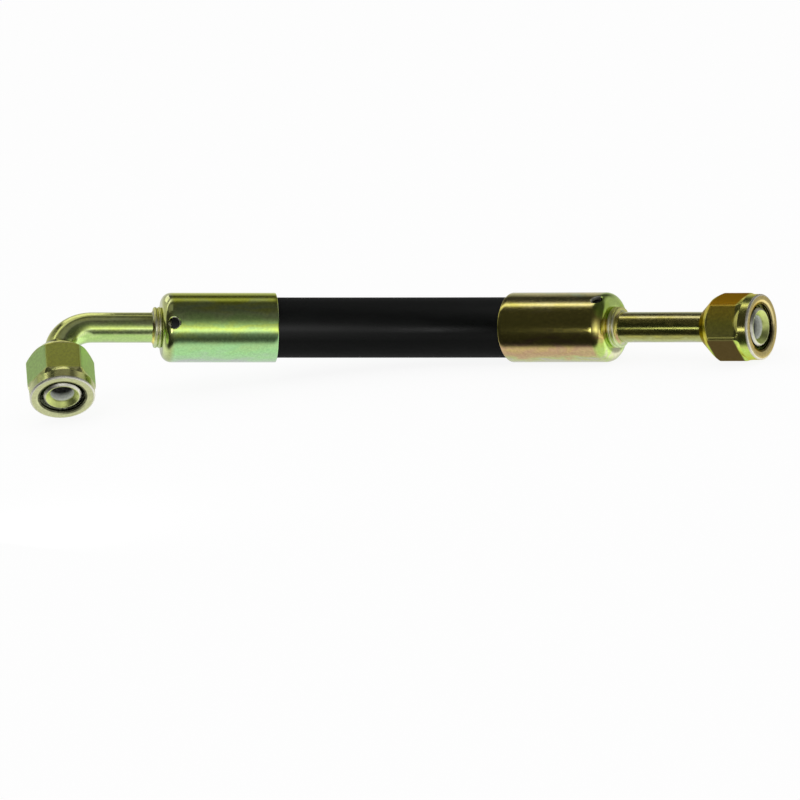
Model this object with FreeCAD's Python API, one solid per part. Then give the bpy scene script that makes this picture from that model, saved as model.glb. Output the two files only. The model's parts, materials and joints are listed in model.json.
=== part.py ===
"""Short hydraulic hose assembly with a 90 degree elbow end and a straight end.

One rubber hose joins two plated steel fittings. Each fitting is a barbed nipple that the
hose is pushed on, a ferrule round the hose, a flared tube brazed into the nipple, and a
hexagon swivel nut that turns on the tube. Lengths are in millimetres.

A fitting is drawn about its own axis: height 0 is the ferrule's mouth, where the hose goes
in, and heights grow outward, past the neck and along the tube to the flared nose. The hose
lies in one plane as an arc, with a fitting at each end. The whole part is then stood as it
rests on a flat surface, with +Z up and the origin under the middle of its bounding box.
"""

import FreeCAD, Part
import math
import os

from FreeCAD import Matrix, Placement, Vector

# Hose, by layer from the bore outward
hose_bore_radius = 4.0
inner_tube_wall = 1.6
barrier_wall = 0.3
friction_wall = 1.0
braid_wall = 0.8
cover_wall = 1.8
free_hose_length = 77.6
hose_bend_radius = 126.0

# Ferrule
ferrule_gap = 0.25
ferrule_wall = 1.2
ferrule_length = 36.3
ferrule_end_wall = 1.5
ferrule_shoulder_radius = 3.2
ferrule_mouth_bevel = 0.3
grip_ring_count = 5
grip_ring_width = 1.6
grip_ring_pitch = 5.4
first_grip_ring = 5.0
grip_gap = 0.03
sight_hole_radius = 1.75
sight_hole_from_end = 3.2
sight_hole_count = 2
elbow_sight_hole_turn = 8.0
straight_sight_hole_turn = -54.0

# Nipple
nipple_bore_radius = 2.9
stem_radius = 3.55
barb_height = 0.4
barb_pitch = 4.0
barb_count = 6
first_barb = 6.0
stem_tip_height = 2.5
lock_shoulder_radius = 6.3
lock_shoulder_length = 1.1
neck_groove_radius = 5.7
collar_radius = 6.45
collar_length = 2.4
collar_groove = 0.5
collar_bead_round = 0.5
socket_depth = 4.2
seat_gap = 0.03

# Tube and its flared nose
tube_radius = 4.7625
tube_bore_radius = 3.5
flare_lip_radius = 6.15
flare_angle = 45.0
flare_lip_bevel = 0.15
elbow_bend_radius = 11.0
elbow_leg_from_collar = 30.3
elbow_nose_from_axis = 28.3
straight_nose_from_collar = 49.4
elbow_clock_angle = -51.0

# Braze fillet between the nipple's collar and the tube
braze_leg = 0.7

# Swivel nut
nut_across_flats = 19.05
nut_length = 19.4
nut_past_nose = 0.2
nut_rear_radius = 5.7
nut_tube_gap = 0.45
nut_rear_cone_angle = 45.0
nut_rear_cone_gap = 0.4
nut_collar_radius = 10.3
nut_collar_length = 3.4
nut_run_out_length = 2.0
nut_run_out_height = 0.85
nut_corner_bevel_length = 1.3
nut_rim_bevel = 0.4
thread_minor_radius = 7.25
thread_depth = 12.5
thread_mouth_chamfer = 1.2
elbow_nut_turn = -30.0
straight_nut_turn = -9.0

# Search for the resting pose
outline_tolerance = 0.02
steepest_roll = 45.0
halvings = 40

X, Y, Z = Vector(1, 0, 0), Vector(0, 1, 0), Vector(0, 0, 1)
ORIGIN = Vector(0, 0, 0)

hose_radius = (hose_bore_radius + inner_tube_wall + barrier_wall + friction_wall
               + braid_wall + cover_wall)
hose_turn = math.degrees(free_hose_length / hose_bend_radius)
ferrule_radius = hose_radius + ferrule_gap + ferrule_wall
hose_insertion = ferrule_length - ferrule_end_wall - lock_shoulder_length
barb_radius = stem_radius + barb_height
collar_top = ferrule_length + collar_length
tube_foot = collar_top - socket_depth
elbow_leg_from_mouth = collar_top + elbow_leg_from_collar
straight_nose_from_mouth = collar_top + straight_nose_from_collar


def wire_of(corners):
    """A closed outline in the XZ plane.

    A corner is (radius, height) or, with a round, (radius, height, rounding).
    """
    count = len(corners)
    places = [Vector(c[0], 0, c[1]) for c in corners]
    starts, ends, arcs = [], [], []
    for i, corner in enumerate(corners):
        here = places[i]
        to_last = (places[i - 1] - here).normalize()
        to_next = (places[(i + 1) % count] - here).normalize()
        rounding = corner[2] if len(corner) > 2 else 0
        if not rounding:
            starts.append(here)
            ends.append(here)
            arcs.append(None)
            continue
        half = to_last.getAngle(to_next) / 2
        reach = rounding / math.tan(half)
        middle = (to_last + to_next).normalize() * (rounding / math.sin(half) - rounding)
        first, last = here + to_last * reach, here + to_next * reach
        starts.append(first)
        ends.append(last)
        arcs.append(Part.Arc(first, here + middle, last).toShape())
    edges = []
    for i in range(count):
        following = (i + 1) % count
        if arcs[i]:
            edges.append(arcs[i])
        edges.append(Part.LineSegment(ends[i], starts[following]).toShape())
    return Part.Wire(edges)


def turned(corners):
    """The solid that an outline sweeps in a full turn about Z."""
    return Part.Face(wire_of(corners)).revolve(ORIGIN, Z, 360)


def disc(radius, centre, normal):
    """A flat round face."""
    return Part.Face(Part.Wire(Part.makeCircle(radius, centre, normal)))


def pipe_on_bend(outer_radius, inner_radius, start, bend_radius, straight_in, straight_out, turn):
    """A round pipe in the XZ plane: up Z from start, round a bend towards +X, then straight on."""
    bend_foot = start + Z * straight_in
    bend_centre = bend_foot + X * bend_radius
    half_way = Placement(ORIGIN, FreeCAD.Rotation(Y, turn / 2), bend_centre)
    whole_way = Placement(ORIGIN, FreeCAD.Rotation(Y, turn), bend_centre)
    bend_end = whole_way.multVec(bend_foot)
    end = bend_end + whole_way.Rotation.multVec(Z) * straight_out
    path = Part.Wire([
        Part.LineSegment(start, bend_foot).toShape(),
        Part.Arc(bend_foot, half_way.multVec(bend_foot), bend_end).toShape(),
        Part.LineSegment(bend_end, end).toShape(),
    ])
    ring = disc(outer_radius, start, Z).cut(disc(inner_radius, start, Z)).Faces[0]
    return path.makePipe(ring)


def pose(origin, up, side):
    """The placement that takes Z to up, and X as near to side as it can."""
    up = Vector(up).normalize()
    side = (side - up * side.dot(up)).normalize()
    across = up.cross(side)
    return Placement(Matrix(side.x, across.x, up.x, origin.x,
                            side.y, across.y, up.y, origin.y,
                            side.z, across.z, up.z, origin.z,
                            0, 0, 0, 1))


def moved(shape, placement):
    """A copy of a shape, carried by a placement."""
    copy = shape.copy()
    copy.transformShape(placement.toMatrix())
    return copy


def hose_layer(inner_radius, outer_radius):
    """One layer of the hose, as long as the hose, in the frame of the elbow's ferrule."""
    return pipe_on_bend(outer_radius, inner_radius, Z * -hose_insertion, hose_bend_radius,
                        hose_insertion, hose_insertion, hose_turn)


def hose_layers():
    """The five layers of the hose, from the bore outward."""
    walls = {"hose_inner_tube": inner_tube_wall,
             "hose_barrier": barrier_wall,
             "hose_friction_layer": friction_wall,
             "hose_braid": braid_wall,
             "hose_cover": cover_wall}
    layers, radius = {}, hose_bore_radius
    for name, wall in walls.items():
        layers[name] = hose_layer(radius, radius + wall)
        radius += wall
    return layers


def ferrule(hole_turn):
    """The sleeve round the hose, with its grip rings, rounded shoulder and sight holes."""
    inside = ferrule_radius - ferrule_wall
    grip = hose_radius + grip_gap
    end_inside = ferrule_length - ferrule_end_wall
    inside_bevel = lock_shoulder_length
    shell = turned([
        (inside, ferrule_mouth_bevel),
        (inside + ferrule_mouth_bevel, 0),
        (ferrule_radius - ferrule_mouth_bevel, 0),
        (ferrule_radius, ferrule_mouth_bevel),
        (ferrule_radius, ferrule_length, ferrule_shoulder_radius),
        (neck_groove_radius + seat_gap, ferrule_length),
        (neck_groove_radius + seat_gap, end_inside),
        (inside - inside_bevel, end_inside),
        (inside, end_inside - inside_bevel),
    ])
    for i in range(grip_ring_count):
        middle = first_grip_ring + i * grip_ring_pitch
        foot = grip_ring_width / 2
        crest = foot - (inside - grip)
        shell = shell.fuse(turned([
            (inside + ferrule_wall / 2, middle - foot),
            (inside + ferrule_wall / 2, middle + foot),
            (inside, middle + foot),
            (grip, middle + crest),
            (grip, middle - crest),
            (inside, middle - foot),
        ]))
    for i in range(sight_hole_count):
        drill = Part.makeCylinder(sight_hole_radius, 2 * ferrule_radius, ORIGIN, X)
        drill.translate(Z * (ferrule_length - sight_hole_from_end))
        drill.rotate(ORIGIN, Z, hole_turn + i * 360 / sight_hole_count)
        shell = shell.cut(drill)
    return shell.removeSplitter()


def nipple():
    """The barbed stem, its lock groove for the ferrule, its collar and its tube socket."""
    lock_top = ferrule_length - ferrule_end_wall
    lock_foot = hose_insertion
    bead = (collar_length - collar_groove) / 2
    socket_radius = tube_radius + seat_gap
    corners = [(nipple_bore_radius, stem_tip_height), (stem_radius, stem_tip_height)]
    for i in range(barb_count):
        crest = first_barb + i * barb_pitch
        corners += [(stem_radius, crest - barb_pitch * 0.6), (barb_radius, crest),
                    (barb_radius, crest + barb_height), (stem_radius, crest + barb_height)]
    corners += [
        (stem_radius, lock_foot),
        (lock_shoulder_radius, lock_foot),
        (lock_shoulder_radius, lock_top),
        (neck_groove_radius, lock_top),
        (neck_groove_radius, ferrule_length),
        (collar_radius, ferrule_length, collar_bead_round),
        (collar_radius, ferrule_length + bead, collar_bead_round),
        (collar_radius - collar_groove, ferrule_length + bead + collar_groove / 2),
        (collar_radius, collar_top - bead, collar_bead_round),
        (collar_radius, collar_top, collar_bead_round),
        (socket_radius, collar_top),
        (socket_radius, tube_foot),
        (nipple_bore_radius, tube_foot),
    ]
    return turned(corners)


def braze_ring():
    """The ring of braze metal in the corner between collar and tube."""
    return turned([
        (tube_radius, collar_top),
        (tube_radius + braze_leg, collar_top),
        (tube_radius + braze_leg * 0.45, collar_top + braze_leg * 0.45),
        (tube_radius, collar_top + braze_leg),
    ])


def flare(nose_height):
    """The flared end of a tube, its lip square to the flared wall, and the height of its foot."""
    slope = math.radians(flare_angle)
    wall = tube_radius - tube_bore_radius
    rise = 1 / math.tan(slope)
    lip_inner_radius = flare_lip_radius - wall * math.cos(slope)
    lip_outer_height = nose_height - wall * math.sin(slope)
    root_outer = lip_outer_height - (flare_lip_radius - tube_radius) * rise
    root_inner = nose_height - (lip_inner_radius - tube_bore_radius) * rise
    foot = root_outer - wall
    solid = turned([
        (tube_bore_radius, foot),
        (tube_radius, foot),
        (tube_radius, root_outer),
        (flare_lip_radius, lip_outer_height - flare_lip_bevel),
        (flare_lip_radius, lip_outer_height + flare_lip_bevel),
        (lip_inner_radius + flare_lip_bevel, nose_height),
        (lip_inner_radius - flare_lip_bevel, nose_height),
        (tube_bore_radius, root_inner),
    ])
    return solid, foot


def straight_tube():
    """The straight fitting's tube, from its socket to its flared nose."""
    nose, foot = flare(straight_nose_from_mouth)
    wall = disc(tube_radius, Z * tube_foot, Z).cut(disc(tube_bore_radius, Z * tube_foot, Z))
    return wall.extrude(Z * (foot - tube_foot)).fuse(nose).removeSplitter()


def elbow_frame():
    """Where the elbow's leg starts: on the fitting's axis, pointing along the leg."""
    return pose(Z * elbow_leg_from_mouth, X, Z)


def elbow_tube():
    """The elbow fitting's tube: up the axis, round its bend and along the leg to its flared nose."""
    nose, foot = flare(elbow_nose_from_axis)
    bend_foot = elbow_leg_from_mouth - elbow_bend_radius
    wall = pipe_on_bend(tube_radius, tube_bore_radius, Z * tube_foot, elbow_bend_radius,
                        bend_foot - tube_foot, foot - elbow_bend_radius, 90)
    return wall.fuse(moved(nose, elbow_frame())).removeSplitter()


def hexagon(across_flats, foot, height):
    """A hexagonal bar with a flat facing +X."""
    corner = across_flats / math.sqrt(3)
    turns = [math.radians(30 + 60 * i) for i in range(7)]
    outline = Part.makePolygon([Vector(corner * math.cos(t), corner * math.sin(t), foot)
                                for t in turns])
    return Part.Face(outline).extrude(Z * height)


def swivel_nut(nose_height, turn):
    """The nut on its tube, with a bore for the thread and a seat for the flare inside."""
    front = nose_height + nut_past_nose
    rear = front - nut_length
    hole = tube_radius + nut_tube_gap
    corner = nut_across_flats / math.sqrt(3)
    cone_rise = 1 / math.tan(math.radians(nut_rear_cone_angle))
    seat_rise = 1 / math.tan(math.radians(flare_angle))
    collar_foot = front - nut_collar_length
    bar = hexagon(nut_across_flats, rear, nut_length - nut_collar_length)
    envelope = turned([
        (0, rear),
        (nut_rear_radius, rear),
        (corner, rear + (corner - nut_rear_radius) * cone_rise + nut_rear_cone_gap),
        (corner, collar_foot - nut_corner_bevel_length),
        (nut_collar_radius, collar_foot),
        (0, collar_foot),
    ])
    collar = turned([
        (0, collar_foot - nut_run_out_length),
        (nut_collar_radius - nut_run_out_height, collar_foot - nut_run_out_length),
        (nut_collar_radius, collar_foot),
        (nut_collar_radius, front - nut_rim_bevel),
        (nut_collar_radius - nut_rim_bevel, front),
        (0, front),
    ])
    mouth = thread_minor_radius + thread_mouth_chamfer
    seat_top = front - thread_depth
    seat_foot = seat_top - (thread_minor_radius - hole) * seat_rise
    bore = turned([
        (0, rear),
        (hole, rear),
        (hole, seat_foot),
        (thread_minor_radius, seat_top),
        (thread_minor_radius, front - thread_mouth_chamfer),
        (mouth, front),
        (0, front),
    ])
    nut = bar.common(envelope).fuse(collar).cut(bore).removeSplitter()
    nut.rotate(ORIGIN, Z, turn)
    return nut


def fitting(prefix, tube, hole_turn):
    """The pieces of one fitting that don't move against each other."""
    return {prefix + "_ferrule": ferrule(hole_turn),
            prefix + "_nipple": nipple(),
            prefix + "_tube": tube,
            prefix + "_braze_ring": braze_ring()}


def elbow_seat():
    """Where the elbow fitting sits: at the hose's start, its leg turned out of the hose's plane."""
    clock = Placement(ORIGIN, FreeCAD.Rotation(Z, elbow_clock_angle))
    return pose(ORIGIN, Z * -1, X).multiply(clock)


def straight_seat():
    """Where the straight fitting sits: at the hose's far end, in line with it."""
    turn = Placement(ORIGIN, FreeCAD.Rotation(Y, hose_turn), X * hose_bend_radius)
    return turn.multiply(pose(ORIGIN, Z, X))


def assembled():
    """Every piece, with the mouth of the elbow's ferrule at the origin and the hose going up Z."""
    elbow, straight = elbow_seat(), straight_seat()
    leg = elbow.multiply(elbow_frame())
    pieces = hose_layers()
    elbow_holes = elbow_sight_hole_turn - elbow_clock_angle
    for name, shape in fitting("elbow", elbow_tube(), elbow_holes).items():
        pieces[name] = moved(shape, elbow)
    for name, shape in fitting("straight", straight_tube(), straight_sight_hole_turn).items():
        pieces[name] = moved(shape, straight)
    pieces["elbow_swivel_nut"] = moved(swivel_nut(elbow_nose_from_axis, elbow_nut_turn), leg)
    pieces["straight_swivel_nut"] = moved(
        swivel_nut(straight_nose_from_mouth, straight_nut_turn), straight)
    return pieces


def outline_points(shape):
    """Points all over a shape's surface."""
    return shape.tessellate(outline_tolerance)[0]


def lowest(points, up):
    """How far down the lowest of some points reaches."""
    return min(point.dot(up) for point in points)


def resting_up(pieces):
    """Which way is up when the straight ferrule lies on a flat surface with the elbow's nut."""
    axis = straight_seat().Rotation.multVec(Z)
    level = (Y * -1 + axis * axis.y).normalize()
    elbow_points = outline_points(pieces["elbow_swivel_nut"])
    ferrule_points = outline_points(pieces["straight_ferrule"])
    shallow, steep = -steepest_roll, steepest_roll
    for _ in range(halvings):
        roll = (shallow + steep) / 2
        up = FreeCAD.Rotation(axis, roll).multVec(level)
        if lowest(elbow_points, up) < lowest(ferrule_points, up):
            shallow = roll
        else:
            steep = roll
    return up


def resting_pose(pieces):
    """The placement that rests the part on Z = 0, centred, with +X along the hose."""
    up = resting_up(pieces)
    chord = straight_seat().Base
    turn = pose(ORIGIN, up, chord).inverse()
    points = [turn.multVec(p) for shape in pieces.values() for p in outline_points(shape)]
    low = [min(p[i] for p in points) for i in range(3)]
    high = [max(p[i] for p in points) for i in range(3)]
    middle = Vector((low[0] + high[0]) / 2, (low[1] + high[1]) / 2, low[2])
    return Placement(middle * -1, FreeCAD.Rotation()).multiply(turn)


def main():
    os.makedirs("parts", exist_ok=True)
    pieces = assembled()
    stand = resting_pose(pieces)
    for name, shape in pieces.items():
        moved(shape, stand).exportStep(f"parts/{name}.step")
        print(f"{name}: valid {shape.isValid()}, solids {len(shape.Solids)}, "
              f"volume {shape.Volume:.1f}")


main()
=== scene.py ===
import bisect
import json
import math

import bmesh
import bpy
from mathutils import Matrix, Vector


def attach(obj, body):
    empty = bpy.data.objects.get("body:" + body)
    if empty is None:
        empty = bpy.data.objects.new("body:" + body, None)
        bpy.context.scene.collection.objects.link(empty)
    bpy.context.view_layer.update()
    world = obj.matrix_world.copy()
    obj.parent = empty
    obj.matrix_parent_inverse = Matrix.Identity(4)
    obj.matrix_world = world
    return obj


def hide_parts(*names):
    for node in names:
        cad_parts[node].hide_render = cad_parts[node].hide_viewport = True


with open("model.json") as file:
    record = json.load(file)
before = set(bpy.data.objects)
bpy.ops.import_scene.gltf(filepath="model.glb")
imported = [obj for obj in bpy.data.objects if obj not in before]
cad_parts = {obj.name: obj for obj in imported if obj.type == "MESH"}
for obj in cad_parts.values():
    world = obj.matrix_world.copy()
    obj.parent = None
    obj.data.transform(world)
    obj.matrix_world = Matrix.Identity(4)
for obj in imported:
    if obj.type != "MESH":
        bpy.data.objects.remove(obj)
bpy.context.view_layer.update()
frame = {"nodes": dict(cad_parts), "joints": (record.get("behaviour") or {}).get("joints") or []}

# The hydraulic hose assembly: a rubber hose between an elbow fitting and a straight one.
# Sizes are in millimetres, and each piece is scaled to metres as it is put in place.
# A fitting is drawn about its own axis Z, from the mouth of its ferrule outward.

METRES = 0.001
X, Y, Z = Vector((1, 0, 0)), Vector((0, 1, 0)), Vector((0, 0, 1))
ORIGIN = Vector((0, 0, 0))
QUARTER_TURN = math.pi / 2

# Hose
HOSE_RADIUS = 9.5
COVER_WALL = 1.8
HOSE_END_ROUND = 0.1
FREE_HOSE = 77.6
HOSE_BEND_RADIUS = 126.0
HOSE_TURN = FREE_HOSE / HOSE_BEND_RADIUS

# Ferrule
FERRULE_RADIUS = 10.95
FERRULE_WALL = 1.2
FERRULE_LENGTH = 36.3
FERRULE_END_WALL = 1.5
FERRULE_SHOULDER = 3.2
FERRULE_MOUTH_ROUND = 0.3
FERRULE_NECK_ROUND = 0.1
GRIP_RINGS = 5
GRIP_RING_WIDTH = 1.6
GRIP_RING_PITCH = 5.4
FIRST_GRIP_RING = 5.0
GRIP_GAP = 0.03
SIGHT_HOLE_RADIUS = 1.75
SIGHT_HOLE_FROM_END = 3.2
SIGHT_HOLE_BEVEL = 0.55
DRILL_PAST_WALL = 1.0

# Nipple
NIPPLE_BORE = 2.9
STEM_RADIUS = 3.55
STEM_TIP = 2.5
STEM_TIP_ROUND = 0.15
BARBS = 6
BARB_HEIGHT = 0.4
BARB_PITCH = 4.0
BARB_SLOPE_SHARE = 0.6
FIRST_BARB = 6.0
LOCK_RADIUS = 6.3
LOCK_LENGTH = 1.1
NECK_RADIUS = 5.7
COLLAR_RADIUS = 6.45
COLLAR_LENGTH = 2.4
COLLAR_GROOVE = 0.5
GROOVE_FLOOR_ROUND = 0.1
GROOVE_EDGE_ROUND = 0.3
COLLAR_BEAD_ROUND = 0.5
SOCKET_DEPTH = 4.2
SEAT_GAP = 0.03

# Braze, its hollow face as a share of its leg
BRAZE_LEG = 0.7
BRAZE_HOLLOW = 0.4
BRAZE_HOLLOW_ROUND = 0.2
BRAZE_DIP = 0.12

# Tube
TUBE_RADIUS = 4.7625
TUBE_BORE = 3.5
TUBE_FOOT_ROUND = 0.1
FLARE_LIP = 6.15
FLARE_ANGLE = math.radians(45)
FLARE_ROOT_ROUND = 0.8
FLARE_LIP_ROUND = 0.2
FLARE_NOSE_ROUND = 0.25
ELBOW_BEND_RADIUS = 11.0
ELBOW_LEG_FROM_COLLAR = 30.3
ELBOW_NOSE_FROM_AXIS = 28.3
STRAIGHT_NOSE_FROM_COLLAR = 49.4
ELBOW_CLOCK = math.radians(51)

# Swivel nut, its thread's flanks steeper than a plain zigzag so that crests and roots are flat
NUT_FLATS = 19.05
NUT_LENGTH = 19.4
NUT_PAST_NOSE = 0.2
NUT_REAR_RADIUS = 5.7
NUT_REAR_ROUND = 0.15
NUT_TUBE_GAP = 0.45
NUT_REAR_CONE = math.radians(45)
NUT_CONE_GAP = 0.4
NUT_COLLAR_RADIUS = 10.3
NUT_COLLAR_LENGTH = 3.4
NUT_RUN_OUT_LENGTH = 2.0
NUT_RUN_OUT_HEIGHT = 0.85
NUT_CORNER_BEVEL_LENGTH = 1.3
NUT_CORNER_ROUNDING = 0.9
NUT_EDGE_ROUNDING = 0.3
NUT_RIM_ROUND = 0.55
THREAD_MINOR = 7.25
THREAD_DEPTH = 12.5
THREAD_CHAMFER = 1.2
THREAD_CHAMFER_DEPTH = 0.5
THREAD_CHAMFER_ROUND = 0.12
THREAD_HEIGHT = 0.66
THREAD_PITCH = 25.4 / 18
THREAD_STEEPNESS = 1.25
THREAD_FROM_SEAT = 0.4
ELBOW_NUT_TURN = math.radians(-30)
STRAIGHT_NUT_TURN = math.radians(-9)

# Heights on a fitting, from its ferrule's mouth
COLLAR_TOP = FERRULE_LENGTH + COLLAR_LENGTH
TUBE_FOOT = COLLAR_TOP - SOCKET_DEPTH
HOSE_INSERTION = FERRULE_LENGTH - FERRULE_END_WALL - LOCK_LENGTH
LEG_FROM_MOUTH = COLLAR_TOP + ELBOW_LEG_FROM_COLLAR
STRAIGHT_NOSE = COLLAR_TOP + STRAIGHT_NOSE_FROM_COLLAR

# The nut's hole and sharp corners, and its heights from the tube's nose
NUT_HOLE = TUBE_RADIUS + NUT_TUBE_GAP
NUT_CORNER = NUT_FLATS / math.sqrt(3)
NUT_REAR = NUT_PAST_NOSE - NUT_LENGTH
NUT_CONE_TOP = NUT_REAR + (NUT_CORNER - NUT_REAR_RADIUS) / math.tan(NUT_REAR_CONE) + NUT_CONE_GAP
NUT_COLLAR_FOOT = NUT_PAST_NOSE - NUT_COLLAR_LENGTH
SEAT_TOP = NUT_PAST_NOSE - THREAD_DEPTH
SEAT_FOOT = SEAT_TOP - (THREAD_MINOR - NUT_HOLE) / math.tan(FLARE_ANGLE)
THREAD_FOOT = SEAT_TOP + THREAD_FROM_SEAT
THREAD_TOP = NUT_PAST_NOSE - THREAD_CHAMFER_DEPTH

# How finely the pieces are cut into faces, in steps round an axis and in rows along it
ROUND_STEPS = 96
NUT_STEPS = 288
ROUND_SEGMENTS = 4
LARGE_ROUNDING = 0.6
LARGE_ROUND_SEGMENTS = 12
FERRULE_ROW = 1.2
HOSE_ROW = 0.8
BENT_TUBE_ROW = 0.6
PLAIN_TUBE_ROW = 2.0
NUT_ROW = 0.16
ROWS_IN_A_THREAD = 12

# How near two points are to be made one, or to count as level, and how sharp an edge is to be shaded sharp
WELD = 0.0001
TOUCH = 0.01
SHARP_ANGLE = math.radians(38)


# Where things are

def pose(origin, up, side):
    """The matrix that takes Z to up, and X as near to side as it can."""
    up = up.normalized()
    side = (side - up * side.dot(up)).normalized()
    turn = Matrix((side, up.cross(side), up)).transposed()
    return Matrix.Translation(origin) @ turn.to_4x4()


def two_axes(first, second):
    """The turn that takes X to the first of two directions and Y square to both."""
    across = first.cross(second).normalized()
    return Matrix((first, across, first.cross(across))).transposed()


def start_of_hose():
    """The hose's start in millimetres: at the elbow ferrule's mouth, Z along it, bending towards X."""
    joints = {joint["name"]: joint for joint in frame["joints"]}
    leg_joint, nose_joint = joints["elbow_nut_turn"], joints["straight_nut_turn"]
    drawn = two_axes(leg_direction(), straight_seat().to_3x3() @ Z)
    found = two_axes(Vector(leg_joint["axis"]).normalized(), Vector(nose_joint["axis"]).normalized())
    turn = found @ drawn.transposed()
    nose = Vector(leg_joint["pos_m"]) / METRES
    drawn_nose = Z * -LEG_FROM_MOUTH + leg_direction() * ELBOW_NOSE_FROM_AXIS
    return Matrix.Translation(nose - turn @ drawn_nose) @ turn.to_4x4()


def leg_direction():
    """Which way the elbow's leg points, seen from the hose's start."""
    return Vector((math.cos(ELBOW_CLOCK), math.sin(ELBOW_CLOCK), 0))


def elbow_seat():
    """The elbow fitting, seen from the hose's start: X points along the elbow's leg."""
    return pose(ORIGIN, -Z, leg_direction())


def straight_seat():
    """The straight fitting, seen from the hose's start."""
    centre = X * HOSE_BEND_RADIUS
    turn = Matrix.Rotation(HOSE_TURN, 4, "Y")
    return Matrix.Translation(centre) @ turn @ Matrix.Translation(-centre)


def elbow_leg():
    """The elbow's leg, seen from its fitting: where the two axes cross, Z up the leg."""
    return pose(Z * LEG_FROM_MOUTH, X, Z)


HOSE = start_of_hose()
ELBOW = HOSE @ elbow_seat()
STRAIGHT = HOSE @ straight_seat()


# Making a piece from an outline

def outlined(corners):
    """A bmesh with one closed outline in the XZ plane, from corners (radius, height, rounding)."""
    bm = bmesh.new()
    verts = [bm.verts.new((corner[0], 0, corner[1])) for corner in corners]
    for i, vert in enumerate(verts):
        bm.edges.new((verts[i - 1], vert))
    by_rounding = {}
    for vert, corner in zip(verts, corners):
        if len(corner) > 2:
            by_rounding.setdefault(corner[2], []).append(vert)
    for rounding, rounded in by_rounding.items():
        segments = ROUND_SEGMENTS if rounding < LARGE_ROUNDING else LARGE_ROUND_SEGMENTS
        bmesh.ops.bevel(bm, geom=rounded, offset=rounding, segments=segments, profile=0.5,
                        affect="VERTICES", material=-1)
    return bm


def refined(bm, low, high, row, beyond=0):
    """Cuts the outline's long edges between two heights, beyond a radius, into rows about one row high."""
    for edge in bm.edges[:]:
        ends = [vert.co for vert in edge.verts]
        middle = (ends[0] + ends[1]) / 2
        cuts = int(edge.calc_length() / row)
        if cuts and low <= middle.z <= high and middle.x >= beyond:
            bmesh.ops.subdivide_edges(bm, edges=[edge], cuts=cuts)


def spun(bm, steps):
    """Turns an outline once round Z into a closed shell."""
    bmesh.ops.spin(bm, geom=bm.verts[:] + bm.edges[:], axis=Z, cent=ORIGIN,
                   angle=2 * math.pi, steps=steps, use_merge=True)
    bmesh.ops.remove_doubles(bm, verts=bm.verts, dist=WELD)
    bmesh.ops.recalc_face_normals(bm, faces=bm.faces)
    return bm


def made(name, bm):
    """An object from a bmesh."""
    mesh = bpy.data.meshes.new(name)
    bm.to_mesh(mesh)
    bm.free()
    piece = bpy.data.objects.new(name, mesh)
    bpy.context.scene.collection.objects.link(piece)
    return piece


def finished(piece, place, body, node, material, bend=None):
    """Keeps where each point lies on the unbent piece, then bends it, puts it in place and dresses it."""
    mesh = piece.data
    drawn = mesh.attributes.new("drawn", "FLOAT_VECTOR", "POINT")
    drawn.data.foreach_set("vector", [value for vert in mesh.vertices for value in vert.co])
    if bend:
        for vert in mesh.vertices:
            vert.co = bend(vert.co)
    mesh.transform(place)
    mesh.transform(Matrix.Scale(METRES, 4))
    mesh.shade_smooth()
    mesh.set_sharp_from_angle(angle=SHARP_ANGLE)
    mesh.materials.clear()
    mesh.materials.append(material)
    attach(piece, body)
    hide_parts(node)


# Ferrule

def grip_ring(middle):
    """The corners of one ring that bites the hose, from the end's side to the mouth's."""
    inside = FERRULE_RADIUS - FERRULE_WALL
    grip = HOSE_RADIUS + GRIP_GAP
    foot = GRIP_RING_WIDTH / 2
    crest = foot - (inside - grip)
    return [(inside, middle + foot), (grip, middle + crest),
            (grip, middle - crest), (inside, middle - foot)]


def ferrule(name, hole_turn):
    """The sleeve round the hose, its shoulder rounded over and its two sight holes drilled."""
    inside = FERRULE_RADIUS - FERRULE_WALL
    end_inside = FERRULE_LENGTH - FERRULE_END_WALL
    neck = NECK_RADIUS + SEAT_GAP
    end_bevel = LOCK_LENGTH
    corners = [(inside, 0, FERRULE_MOUTH_ROUND), (FERRULE_RADIUS, 0, FERRULE_MOUTH_ROUND),
               (FERRULE_RADIUS, FERRULE_LENGTH, FERRULE_SHOULDER),
               (neck, FERRULE_LENGTH, FERRULE_NECK_ROUND), (neck, end_inside),
               (inside - end_bevel, end_inside), (inside, end_inside - end_bevel)]
    for i in reversed(range(GRIP_RINGS)):
        corners += grip_ring(FIRST_GRIP_RING + i * GRIP_RING_PITCH)
    bm = outlined(corners)
    refined(bm, 0, FERRULE_LENGTH, FERRULE_ROW, FERRULE_RADIUS - TOUCH)
    piece = made(name, spun(bm, 2 * ROUND_STEPS))
    drill_out(piece, sight_hole_drills(hole_turn))
    return piece


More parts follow.
